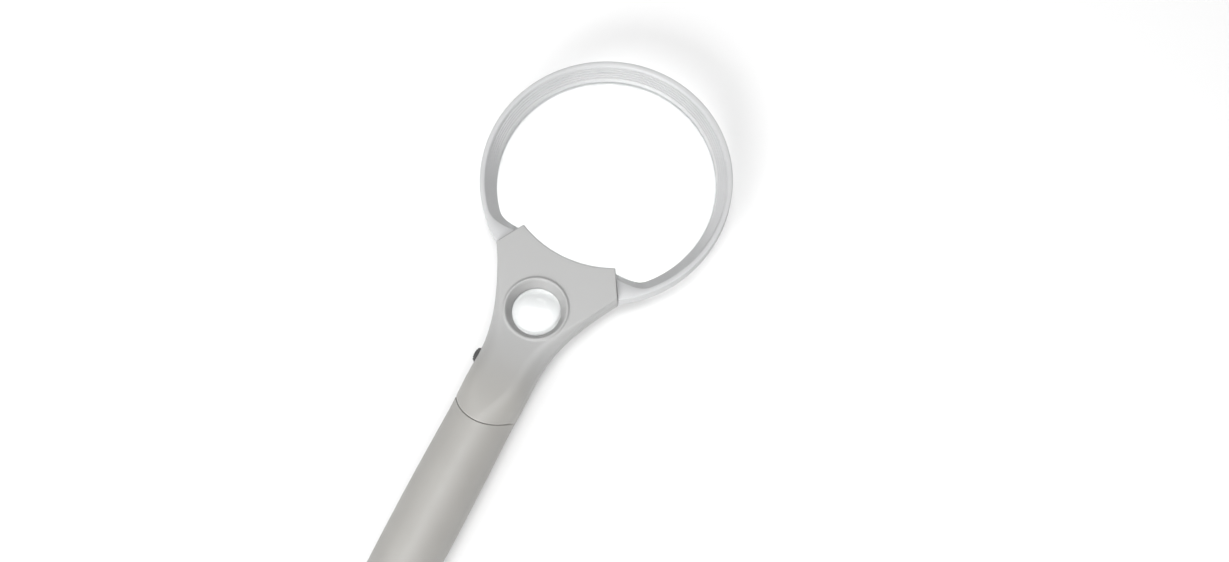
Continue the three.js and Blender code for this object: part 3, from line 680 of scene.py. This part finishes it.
def section_field(x, y, z, inset=0.0):
    """At each y a rounded rectangle: nearly sharp in the yoke, with flat faces and soft edges in
    the shoulder, and a circle in the grip."""
    width = half_width(y) - inset
    height = lerp(YOKE_FACE, half_width(y), between(y, RISE_Y)) - inset
    edge = lerp(np.where(z > 0, EDGE_R, REAR_EDGE_R), SHOULDER_R, between(y, SOFT_Y)) - inset
    corner = lerp(np.clip(edge, 0.6, height - 0.02), height - 0.02, between(y, ROUND_Y))
    qx, qz = np.abs(x) - (width - corner), np.abs(z) - (height - corner)
    outside = np.hypot(np.maximum(qx, 0), np.maximum(qz, 0))
    return outside + np.minimum(np.maximum(qx, qz), 0) - corner


SEAM_ALONG = (SEAM_FOOT - SEAM_TOP) / np.linalg.norm(SEAM_FOOT - SEAM_TOP)


def seam_field(x, y):
    """Distance outside the wedge between the two arm seams."""
    return (np.abs(x) - SEAM_TOP[0]) * -SEAM_ALONG[1] + (y - SEAM_TOP[1]) * SEAM_ALONG[0]


def throat_field(x, y, r=THROAT_R):
    return r - np.hypot(x, y - THROAT_Y)


def socket_field(x, y, z):
    """Room for the tongues of the ring's arms, with a little clearance."""
    s = (np.abs(x) - SEAM_TOP[0]) * SEAM_ALONG[0] + (y - SEAM_TOP[1]) * SEAM_ALONG[1]
    room = both(slab(s, *SOCKET_ALONG), slab(seam_field(x, y), *SOCKET_ACROSS))
    return both(room, slab(z, -SOCKET_HALF, SOCKET_HALF))


def housing_body(x, y, z):
    plan = both(throat_field(x, y), seam_field(x, y) + PART_GAP, 0.2)
    body = both(section_field(x, y, z), plan, 0.42)
    beyond = np.minimum(COVER_SEAM_Y - y, np.hypot(x, y - COVER_SEAM_Y) - COVER_SEAM_R + 0.1)
    body = both(body, beyond, 0.3)
    neck = both(np.hypot(x, z) - NECK_R, slab(y, NECK_END, NECK_TOP), 0.5)
    return join(body, neck)


def housing_cavity(x, y, z):
    room = both(section_field(x, y, z, WALL), throat_field(x, y, THROAT_R + 3.9))
    room = both(both(room, seam_field(x, y) + 2.2), NECK_TOP + 2 - y)
    bore = both(np.hypot(x, z) - NECK_BORE, slab(y, NECK_END - 4, NECK_TOP + 3))
    return join(room, bore)


def switch_opening(x, y, z):
    """Flat for the thumb pad and the slot for its stem, over the knob's whole travel."""
    pocket = brick(x, y, z, (-20, KNOB_Y - POCKET_END, -POCKET_HALF),
                   (-KNOB_FLAT, KNOB_Y + POCKET_END + KNOB_TRAVEL, POCKET_HALF), 0.4)
    slot = brick(x, y, z, (-16, KNOB_Y - SLOT_END, -SLOT_HALF),
                 (-9, KNOB_Y + SLOT_END + KNOB_TRAVEL, SLOT_HALF), 0.3)
    return join(pocket, slot)


def switch_ribs(x, y, z):
    """Two ribs in each shell that hold the switch's body."""
    ribs = np.minimum(*[slab(y, low, high) for low, high in SWITCH_RIBS_Y])
    return both(both(ribs, slab(x, -6.9, -3.9)), 2.3 - np.abs(z))


def clamp_lip(x, y, z, grow=0.0):
    """Lip of the front shell that presses the lens flange into the rear shell."""
    r = np.hypot(x, y - THROAT_Y)
    wide = np.abs(np.arctan2(x, THROAT_Y - y)) * THROAT_R - CLAMP_HALF - grow
    band = slab(r, THROAT_R + CLAMP_BAND[0] - grow, THROAT_R + CLAMP_BAND[1] + grow)
    return both(both(band, wide), slab(z, CLAMP_DEPTH - grow, 1))


def screw_distance(x, y):
    """Distance to the nearer screw's axis."""
    return np.minimum.reduce([np.hypot(x - sx, y - sy) for sx, sy in SCREWS_XY])


def front_shell_field(x, y, z):
    body = housing_body(x, y, z)
    shell = cut(body, housing_cavity(x, y, z))
    rho = np.hypot(x, y - EYE_Y)
    boss = both(rho - FRONT_BOSS_R, slab(z, FRONT_BOSS_FOOT, 8))
    posts = screw_distance(x, y) - POST_FRONT_R
    inner = np.minimum(np.minimum(boss, posts), switch_ribs(x, y, z))
    shell = join(shell, both(inner, body))
    shell = both(shell, PART_GAP - z, 0.22)
    shell = join(shell, clamp_lip(x, y, z))
    lip = np.hypot(rho - LIP_R, z - YOKE_FACE - LIP_RISE + LIP_TUBE) - LIP_TUBE
    shell = join(shell, lip, 0.3)
    slope = math.atan2(SOCKET_MOUTH_R - EYE_R, YOKE_FACE + LIP_RISE - SOCKET_CONE_Z)
    cone = (rho - EYE_R) * math.cos(slope) - (z - SOCKET_CONE_Z) * math.sin(slope)
    shell = cut(shell, join(cone, rho - EYE_R, 0.4), 0.35)
    shell = cut(shell, both(screw_distance(x, y) - PILOT_R, z - PILOT_END))
    shell = cut(shell, switch_opening(x, y, z), 0.15)
    return cut(shell, socket_field(x, y, z))


def sector_field(x, y, inner, outer, half, r=0.0):
    """Part of a ring about the throat's centre, as wide as twice the half angle."""
    distance = np.hypot(x, y - THROAT_Y)
    swing = (np.abs(np.arctan2(x, THROAT_Y - y)) - half) * (inner + outer) / 2
    return both(slab(distance, inner, outer), swing, r)


def rear_shell_field(x, y, z):
    body = housing_body(x, y, z)
    shell = cut(body, housing_cavity(x, y, z))
    rho = np.hypot(x, y - EYE_Y)
    boss = both(rho - REAR_BOSS_R, -z - 8)
    posts = screw_distance(x, y) - POST_REAR_R
    inner = np.minimum(np.minimum(boss, posts), switch_ribs(x, y, z))
    shell = join(shell, both(inner, body))
    shell = both(shell, z + PART_GAP, 0.22)
    shell = cut(shell, rho - COLLAR_R - GAP)
    shell = cut(shell, both(rho - COLLAR_FLANGE - 0.15, z + YOKE_FACE))
    angle = np.arctan2(y, x)
    far = np.hypot(x, y) - lens_radius(angle, 0.15)
    shell = cut(shell, both(far, FLANGE_REAR - 0.12 - z))
    shell = cut(shell, clamp_lip(x, y, z, GAP))
    window = sector_field(x, y, WINDOW_IN, WINDOW_OUT, WINDOW_HALF, 0.8)
    shell = cut(shell, both(window, z + 4), 0.2)
    shaft = screw_distance(x, y)
    shell = cut(shell, both(shaft - HEAD_WELL_R, z - HEAD_SEAT_Z), 0.25)
    shell = cut(shell, shaft - SHANK_HOLE_R)
    shell = cut(shell, switch_opening(x, y, z), 0.15)
    return cut(shell, socket_field(x, y, z))


SHELL_STEP = 0.34
SHELL_REACH = ((-28, -119.0), (28, -31.5))


def housing_shells():
    (x0, y0), (x1, y1) = SHELL_REACH
    for name, field, low, high, cad in (
        ("yoke_front_shell", front_shell_field, -2.2, 13.4, "front_shell"),
        ("yoke_rear_shell", rear_shell_field, -13.4, 0.4, "rear_shell"),
    ):
        points, faces = surface_net(field, (x0, y0, low), (x1, y1, high), SHELL_STEP)
        piece = new_piece(name, points, faces, housing_plastic, sharp=50)
        face_outwards(piece)
        stand_for(cad)


def battery_cover():
    """Sleeve with a round mouth that follows the housing's tongue, and a domed end."""
    columns = 192
    angle = 2 * math.pi * np.arange(columns) / columns
    lip = 0.3

    def mouth_y(x):
        return COVER_SEAM_Y - np.sqrt((COVER_SEAM_R + 0.1) ** 2 - x * x)

    def skin_radius(y):
        r = half_width(y) * np.ones(columns)
        for _ in range(12):
            r = r - section_field(r * np.cos(angle), y, r * np.sin(angle))
        return r

    def ring_at(radius, y):
        x, z = radius * np.cos(angle), radius * np.sin(angle)
        return np.stack([x, np.broadcast_to(y, angle.shape), z], 1)

    mouth = mouth_y(half_width(COVER_SEAM_Y - COVER_SEAM_R / 2) * np.cos(angle))
    rows = []
    for a in np.linspace(0, math.pi / 2, 5):
        y = mouth - lip * (1 - math.sin(a))
        rows.append(ring_at(skin_radius(y) - lip * (1 - math.cos(a)), y))
    rows.reverse()
    start = mouth - lip
    end = HANDLE_END + END_ROUND
    for t in np.linspace(0.01, 1, 60) ** 1.5:
        y = lerp(start, end, t)
        rows.append(ring_at(skin_radius(y), y))
    for a in np.linspace(0.08, math.pi / 2 - 0.04, 16):
        y = end - END_ROUND * math.sin(a)
        rows.append(ring_at(half_width(y) - END_ROUND * (1 - math.cos(a)), y))
    outer_rows = len(rows)
    bore_end = HANDLE_END + END_WALL
    pole_r = 0.6
    rows.append(ring_at(pole_r, HANDLE_END))
    inner = [ring_at(pole_r, bore_end), ring_at(COVER_BORE_R - 1, bore_end),
             ring_at(COVER_BORE_R, bore_end + 1)]
    inner += [ring_at(COVER_BORE_R, lerp(bore_end + 1, mouth - lip, t)) for t in (0.5, 1)]
    inner.append(ring_at(COVER_BORE_R + lip / 2, mouth - lip / 4))
    outer_points, inner_points = np.vstack(rows), np.vstack(inner)
    points = np.vstack([outer_points, inner_points])
    faces = grid_faces(len(rows), columns)
    faces += grid_faces(len(inner), columns, start=len(outer_points))
    tip, floor = len(points), len(points) + 1
    last_outer = outer_rows * columns
    first_inner = len(outer_points)
    last_inner = first_inner + (len(inner) - 1) * columns
    for k in range(columns):
        n = (k + 1) % columns
        faces += [[tip, last_outer + k, last_outer + n], [floor, first_inner + n, first_inner + k]]
        faces.append([last_inner + k, last_inner + n, n, k])
    points = np.vstack([points, [(0, HANDLE_END, 0), (0, bore_end, 0)]])
    piece = new_piece("grip_sleeve", points, faces, cover_plastic, "battery_cover", sharp=40)
    face_outwards(piece)
    stand_for("battery_cover")


# ------------------------------------------------------------------ small lens and collar


def small_lens():
    front, rear, sag, steps = 1.4, -0.6, 3.0, 20
    share = np.linspace(0, 1, steps + 1)
    low = [(EYE_R * s, rear - sag * (1 - s * s)) for s in share]
    high = [(EYE_R * s, front + sag * (1 - s * s)) for s in share[::-1]]
    rim = rounded([(0, rear), (EYE_EDGE_R, rear), (EYE_EDGE_R, front), (0, front)], 0.25)[1:-1]
    points, faces = turned(low + rim + high, 128, (0, EYE_Y))
    piece = new_piece("small_strong_lens", points, faces, acrylic, sharp=30)
    face_outwards(piece)
    stand_for("small_lens")


def small_lens_collar():
    seat = -YOKE_FACE - 0.05
    profile = [(COLLAR_BORE, COLLAR_REAR), (COLLAR_FLANGE - 0.3, COLLAR_REAR),
               (COLLAR_FLANGE, seat), (COLLAR_R, seat), (COLLAR_R, -0.9), (COLLAR_BORE, -0.9)]
    points, faces = turned(rounded(profile, 0.45, 5), 144, (0, EYE_Y))
    piece = new_piece("rear_collar", points, faces, collar_plastic, sharp=40)
    face_outwards(piece)
    stand_for("small_lens_collar")


# ------------------------------------------------------------------ light, switch and screws


def window_field(x, y, z):
    plate = sector_field(x, y, WINDOW_IN + 0.15, WINDOW_OUT - 0.15, WINDOW_HALF - 0.004, 0.7)
    return both(plate, slab(z, -YOKE_FACE + 0.05, -5.3), 0.3)


def led_window():
    low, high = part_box("led_window")
    to_mm = [((v[i] - CENTRE[i]) / MM) for v in (low, high) for i in range(3)]
    points, faces = surface_net(window_field, [v - 0.8 for v in to_mm[:3]],
                                [v + 0.8 for v in to_mm[3:]], 0.2)
    piece = new_piece("light_window", points, faces, frosted_acrylic, sharp=50)
    face_outwards(piece)
    stand_for("led_window")


def leds():
    profile = [(0, -4.9)]
    for a in np.linspace(0.15, math.pi / 2, 9):
        profile.append((LED_R * math.sin(a), -2.5 - 2.4 * math.cos(a)))
    profile += [(LED_R, 2.6), (LED_R + 0.35, 2.65), (LED_R + 0.35, 3.55), (0, 3.6)]
    for i, (x, y) in enumerate(LED_XY):
        points, faces = turned(profile, 48, (x, y))
        piece = new_piece(f"lamp_{i + 1}", points, faces, led_epoxy, sharp=35)
        face_outwards(piece)
        stand_for(f"led_{i + 1}")


def knob_field(x, y, z):
    """Thumb pad with cross ridges, stem and the plate that closes the slot from inside."""
    base = -KNOB_FLAT - 0.2
    crown_rise, half_length, half_wide = 1.45, 2.9, 2.7
    ridge_height, ridge_pitch = 0.14, 0.95
    s = (y - KNOB_Y) / 3.0
    crown = base - 0.3 - crown_rise * np.sqrt(np.clip(1 - s * s, 0, 1))
    ridges = ridge_height * np.cos(2 * math.pi * (y - KNOB_Y) / ridge_pitch)
    pad = both(both(crown - x + ridges, x - base), slab(z, -half_wide, half_wide), 0.35)
    pad = both(pad, slab(y, KNOB_Y - half_length, KNOB_Y + half_length), 0.2)
    stem = brick(x, y, z, (base - 0.4, KNOB_Y - 1.6, -1.6), (-10.2, KNOB_Y + 1.6, 1.6), 0.2)
    plate = brick(x, y, z, (-10.6, KNOB_Y - 4.2, -2.8), (-9.9, KNOB_Y + 2.6, 2.8), 0.2)
    return np.minimum(np.minimum(pad, stem), plate)


def switch_knob():
    low, high = (-15.3, KNOB_Y - 5, -3.3), (-9.4, KNOB_Y + 3.6, 3.3)
    points, faces = surface_net(knob_field, low, high, 0.13)
    piece = new_piece("thumb_slide", points, faces, black_plastic, "switch", sharp=50)
    face_outwards(piece)
    stand_for("switch_knob")


def screw_field(x, y, z):
    """Pan head with a cross recess facing the rear, and a threaded shank towards the front."""
    head_r, shank_r, thread_depth, pitch = 2.2, 1.12, 0.16, 0.9
    arm_half, arm_reach = 0.32, 1.25
    rho = np.hypot(x, y)
    head = both(rho - head_r, slab(z, -7, -5.1), 0.5)
    turn = np.arctan2(y, x) / (2 * math.pi)
    thread = thread_depth * (np.abs(((z / pitch + turn) % 1.0) * 2 - 1) - 0.5)
    taper = np.maximum(z - 4.6, 0) * 0.7
    shank = both(rho - shank_r + thread + taper, slab(z, -5.4, 6.1))
    arms = np.minimum(both(slab(x, -arm_half, arm_half), slab(y, -arm_reach, arm_reach)),
                      both(slab(y, -arm_half, arm_half), slab(x, -arm_reach, arm_reach)))
    recess = both(arms, z + 7 - 1.3 + 0.6 * rho)
    return cut(np.minimum(head, shank), recess, 0.08)


def shell_screws():
    points, faces = surface_net(screw_field, (-2.6, -2.6, -7.4), (2.6, 2.6, 6.5), 0.12)
    for i, (x, y) in enumerate(SCREWS_XY):
        piece = new_piece(f"rear_screw_{i + 1}", points + np.array([x, y, 0]), faces,
                          screw_steel, sharp=45)
        face_outwards(piece)
        stand_for(f"shell_screw_{i + 1}")


# ------------------------------------------------------------------ battery


def cell_centre(i):
    angle = math.pi / 2 + 2 * math.pi * i / 3
    return CELL_ORBIT * math.cos(angle), CELL_ORBIT * math.sin(angle)


def points_up(i):
    """The middle cell of the series lies the other way round."""
    return i != 1


def cradle_field(x, y, z):
    """Three open pockets round a hollow core, between two end plates, with a collar on top."""
    rho = np.hypot(x, z)
    core = both(rho - CRADLE_R, slab(y, CRADLE_FOOT - 2, CRADLE_TOP + 2), 0.4)
    collar = both(rho - NECK_BORE + 0.4, slab(y, CRADLE_TOP, -112), 0.3)
    body = cut(join(core, collar), both(rho - 7.9, CRADLE_TOP + 2 - y))
    cell_span = slab(y, CRADLE_FOOT, CRADLE_TOP)
    open_space = both(rho - 4.6, cell_span)
    for i in range(3):
        cx, cz = cell_centre(i)
        ux, uz = cx / CELL_ORBIT, cz / CELL_ORBIT
        out, side = (x - cx) * ux + (z - cz) * uz, (x - cx) * uz - (z - cz) * ux
        pocket = np.where(out > 0, np.abs(side), np.hypot(out, side)) - CELL_R - GAP
        open_space = np.minimum(open_space, both(pocket, cell_span))
    body = cut(body, open_space, 0.25)
    return cut(body, both(rho - 2.6, CRADLE_TOP - 1 - y))


def battery_cradle():
    points, faces = surface_net(cradle_field, (-12, CRADLE_FOOT - 2.6, -12), (12, -111.4, 12), 0.36)
    piece = new_piece("cell_cradle", points, faces, cradle_plastic, sharp=50)
    face_outwards(piece)
    stand_for("battery_cradle")


def cell_jacket_material():
    """Plain foil jacket with a coloured band towards the button."""
    material, tree, principled = surface_material(
        "cell_jacket", (0.2, 0.21, 0.23), 0.3, Metallic=0.85)
    tone = spread(tree, noise(tree, 120), 0, 1)
    colour = mix_colour(tree, tone, (0.19, 0.2, 0.22), (0.14, 0.15, 0.165))
    tree.links.new(colour, principled.inputs["Base Color"])
    gloss = spread(tree, noise(tree, 700), 0.24, 0.36)
    tree.links.new(gloss, principled.inputs["Roughness"])
    bump(tree, principled, noise(tree, 1800, 2), 0.06, 0.00003)
    return material


def battery_cells():
    jacket = cell_jacket_material()
    band = plated_metal("cell_band", (0.62, 0.36, 0.16), 0.28)
    for i in range(3):
        x, z = cell_centre(i)
        low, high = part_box(f"battery_cell_{i + 1}")
        foot, top = (low.y - CENTRE.y) / MM, (high.y - CENTRE.y) / MM
        flat_end, nub_end = (foot, top) if points_up(i) else (top, foot)
        shape = [(0, 0), (4.4, 0), (4.5, 0.25), (4.9, 0.2), (CELL_R, 0.5), (CELL_R, BAND_START),
                 (CELL_R, JACKET_END), (4.9, 43.0), (4.5, 42.9), (4.4, JACKET_END), (2.4, 42.7),
                 (1.9, 43.0), (1.85, 44.2), (1.6, 44.45), (0, CELL_LENGTH)]
        profile = [(r, lerp(flat_end, nub_end, h / CELL_LENGTH)) for r, h in shape]
        points, faces = turned(profile, 72, (x, z), along_y=True)
        piece = new_piece(f"aaa_cell_{i + 1}", points, faces, jacket, sharp=30)
        piece.data.materials.append(band)
        piece.data.materials.append(contact_steel)
        for face in piece.data.polygons:
            centre = face.center
            height = abs((centre.y - CENTRE.y) / MM - flat_end)
            radius = math.hypot((centre.x - CENTRE.x) / MM - x, (centre.z - CENTRE.z) / MM - z)
            if radius < CELL_END_R:
                face.material_index = 2
            elif height > BAND_START:
                face.material_index = 1
        face_outwards(piece)
        stand_for(f"battery_cell_{i + 1}")


def contact_springs():
    """Conical coils with a closed turn on the contact plate."""
    wire, turns, steps, sides = 0.32, 3.6, 220, 12
    narrow_r, wide_r = 1.8, 3.55
    for i in range(3):
        x, z = cell_centre(i)
        low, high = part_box(f"contact_spring_{i + 1}")
        foot, top = (low.y - CENTRE.y) / MM + wire, (high.y - CENTRE.y) / MM - wire
        near, far = (top, foot) if points_up(i) else (foot, top)
        t = np.linspace(0, 1, steps)
        angle = 2 * math.pi * turns * t
        radius = lerp(narrow_r, wide_r, t)
        height = lerp(near, far, np.minimum(t / 0.86, 1.0) ** 1.1)
        path = np.stack([x + radius * np.cos(angle), height, z + radius * np.sin(angle)], 1)
        along = np.gradient(path, axis=0)
        along /= np.linalg.norm(along, axis=1, keepdims=True)
        out = np.stack([np.cos(angle), np.zeros(steps), np.sin(angle)], 1)
        side = np.cross(along, out)
        side /= np.linalg.norm(side, axis=1, keepdims=True)
        out = np.cross(side, along)
        around = 2 * math.pi * np.arange(sides) / sides
        tube = path[:, None] + wire * (np.cos(around)[None, :, None] * out[:, None]
                                       + np.sin(around)[None, :, None] * side[:, None])
        points = tube.reshape(-1, 3)
        faces = grid_faces(steps, sides)
        faces.append(list(range(sides))[::-1])
        faces.append(list(range((steps - 1) * sides, steps * sides)))
        piece = new_piece(f"coil_{i + 1}", points, faces, contact_steel)
        face_outwards(piece)
        stand_for(f"contact_spring_{i + 1}")


# ------------------------------------------------------------------ nodes kept from the frame

KEPT = {
    "led_board": solder_mask,
    "resistor": black_plastic,
    "switch_body": contact_steel,
    "switch_slider": slider_nylon,
    "contact_tab_positive": contact_steel,
    "contact_bridge_top": contact_steel,
    "contact_bridge_bottom": contact_steel,
    "contact_strip_negative": contact_steel,
    "wire_battery_to_switch": red_pvc,
    "wire_switch_to_leds": red_pvc,
    "wire_battery_to_leds": black_pvc,
}


def finish_kept_nodes():
    for name, material in KEPT.items():
        slots = nodes[name].data.materials
        slots.clear()
        slots.append(material)


# ------------------------------------------------------------------ stage, light and camera


def stage_floor():
    white, dimmer = (0.78, 0.78, 0.78), (0.775, 0.775, 0.775)
    material, tree, principled = surface_material("stage_white", white, 0.9)
    tone = spread(tree, noise(tree, 3), 0, 1)
    tree.links.new(mix_colour(tree, tone, white, dimmer), principled.inputs["Base Color"])
    size = 4.0
    mesh = bpy.data.meshes.new("stage_floor")
    corners = [(-size, -size, FLOOR_Z), (size, -size, FLOOR_Z), (size, size, FLOOR_Z),
               (-size, size, FLOOR_Z)]
    mesh.from_pydata(corners, [], [(0, 1, 2, 3)])
    mesh.materials.append(material)
    floor = bpy.data.objects.new("stage_floor", mesh)
    bpy.context.scene.collection.objects.link(floor)


def area_light(name, position, target, size, power, colour=(1, 1, 1)):
    data = bpy.data.lights.new(name, "AREA")
    data.shape = "RECTANGLE"
    data.size, data.size_y = size
    data.energy = power
    data.color = colour
    lamp = bpy.data.objects.new(name, data)
    lamp.location = position
    direction = Vector(target) - Vector(position)
    lamp.rotation_euler = direction.to_track_quat("-Z", "Y").to_euler()
    bpy.context.scene.collection.objects.link(lamp)


def lights():
    world = bpy.data.worlds.new("soft_white")
    bpy.context.scene.world = world
    world.use_nodes = True
    world.node_tree.nodes["Background"].inputs["Color"].default_value = (1, 1, 1, 1)
    world.node_tree.nodes["Background"].inputs["Strength"].default_value = 0.27
    area_light("front_low", (0.04, -1.1, 0.57), (0, 0, 0.02), (0.9, 0.6), 18)
    area_light("right_high", (0.42, 0.23, 1.24), (0, 0, 0.02), (0.9, 0.9), 6.5)
    area_light("near_left", (-0.27, -0.06, 0.43), (0, 0.05, 0.01), (0.45, 0.45), 0.9)
    area_light("overhead", (0, 0.02, 1.2), (0, 0.02, 0), (0.3, 0.3), 4.2)


def camera():
    """Looks down on the lens from the handle's side, turned so the handle runs to lower left."""
    back = Vector((0.127, -0.252, 0.9594)).normalized()
    up = Vector((-0.428, 0.8586, 0.2821))
    right = up.cross(back).normalized()
    up = back.cross(right)
    aim = CENTRE + Vector((21.7, -36.1, 0)) * MM
    distance = 0.6856
    data = bpy.data.cameras.new("camera")
    data.sensor_width = 36
    data.lens = 50.15
    eye = bpy.data.objects.new("camera", data)
    turn = Matrix((right, up, back)).transposed()
    eye.matrix_world = Matrix.Translation(aim + back * distance) @ turn.to_4x4()
    bpy.context.scene.collection.objects.link(eye)
    bpy.context.scene.camera = eye


main_lens()
lens_ring()
housing_shells()
battery_cover()
small_lens()
small_lens_collar()
led_window()
leds()
switch_knob()
shell_screws()
battery_cradle()
battery_cells()
contact_springs()
finish_kept_nodes()
stage_floor()
lights()
camera()
bpy.context.scene.view_settings.view_transform = "Standard"
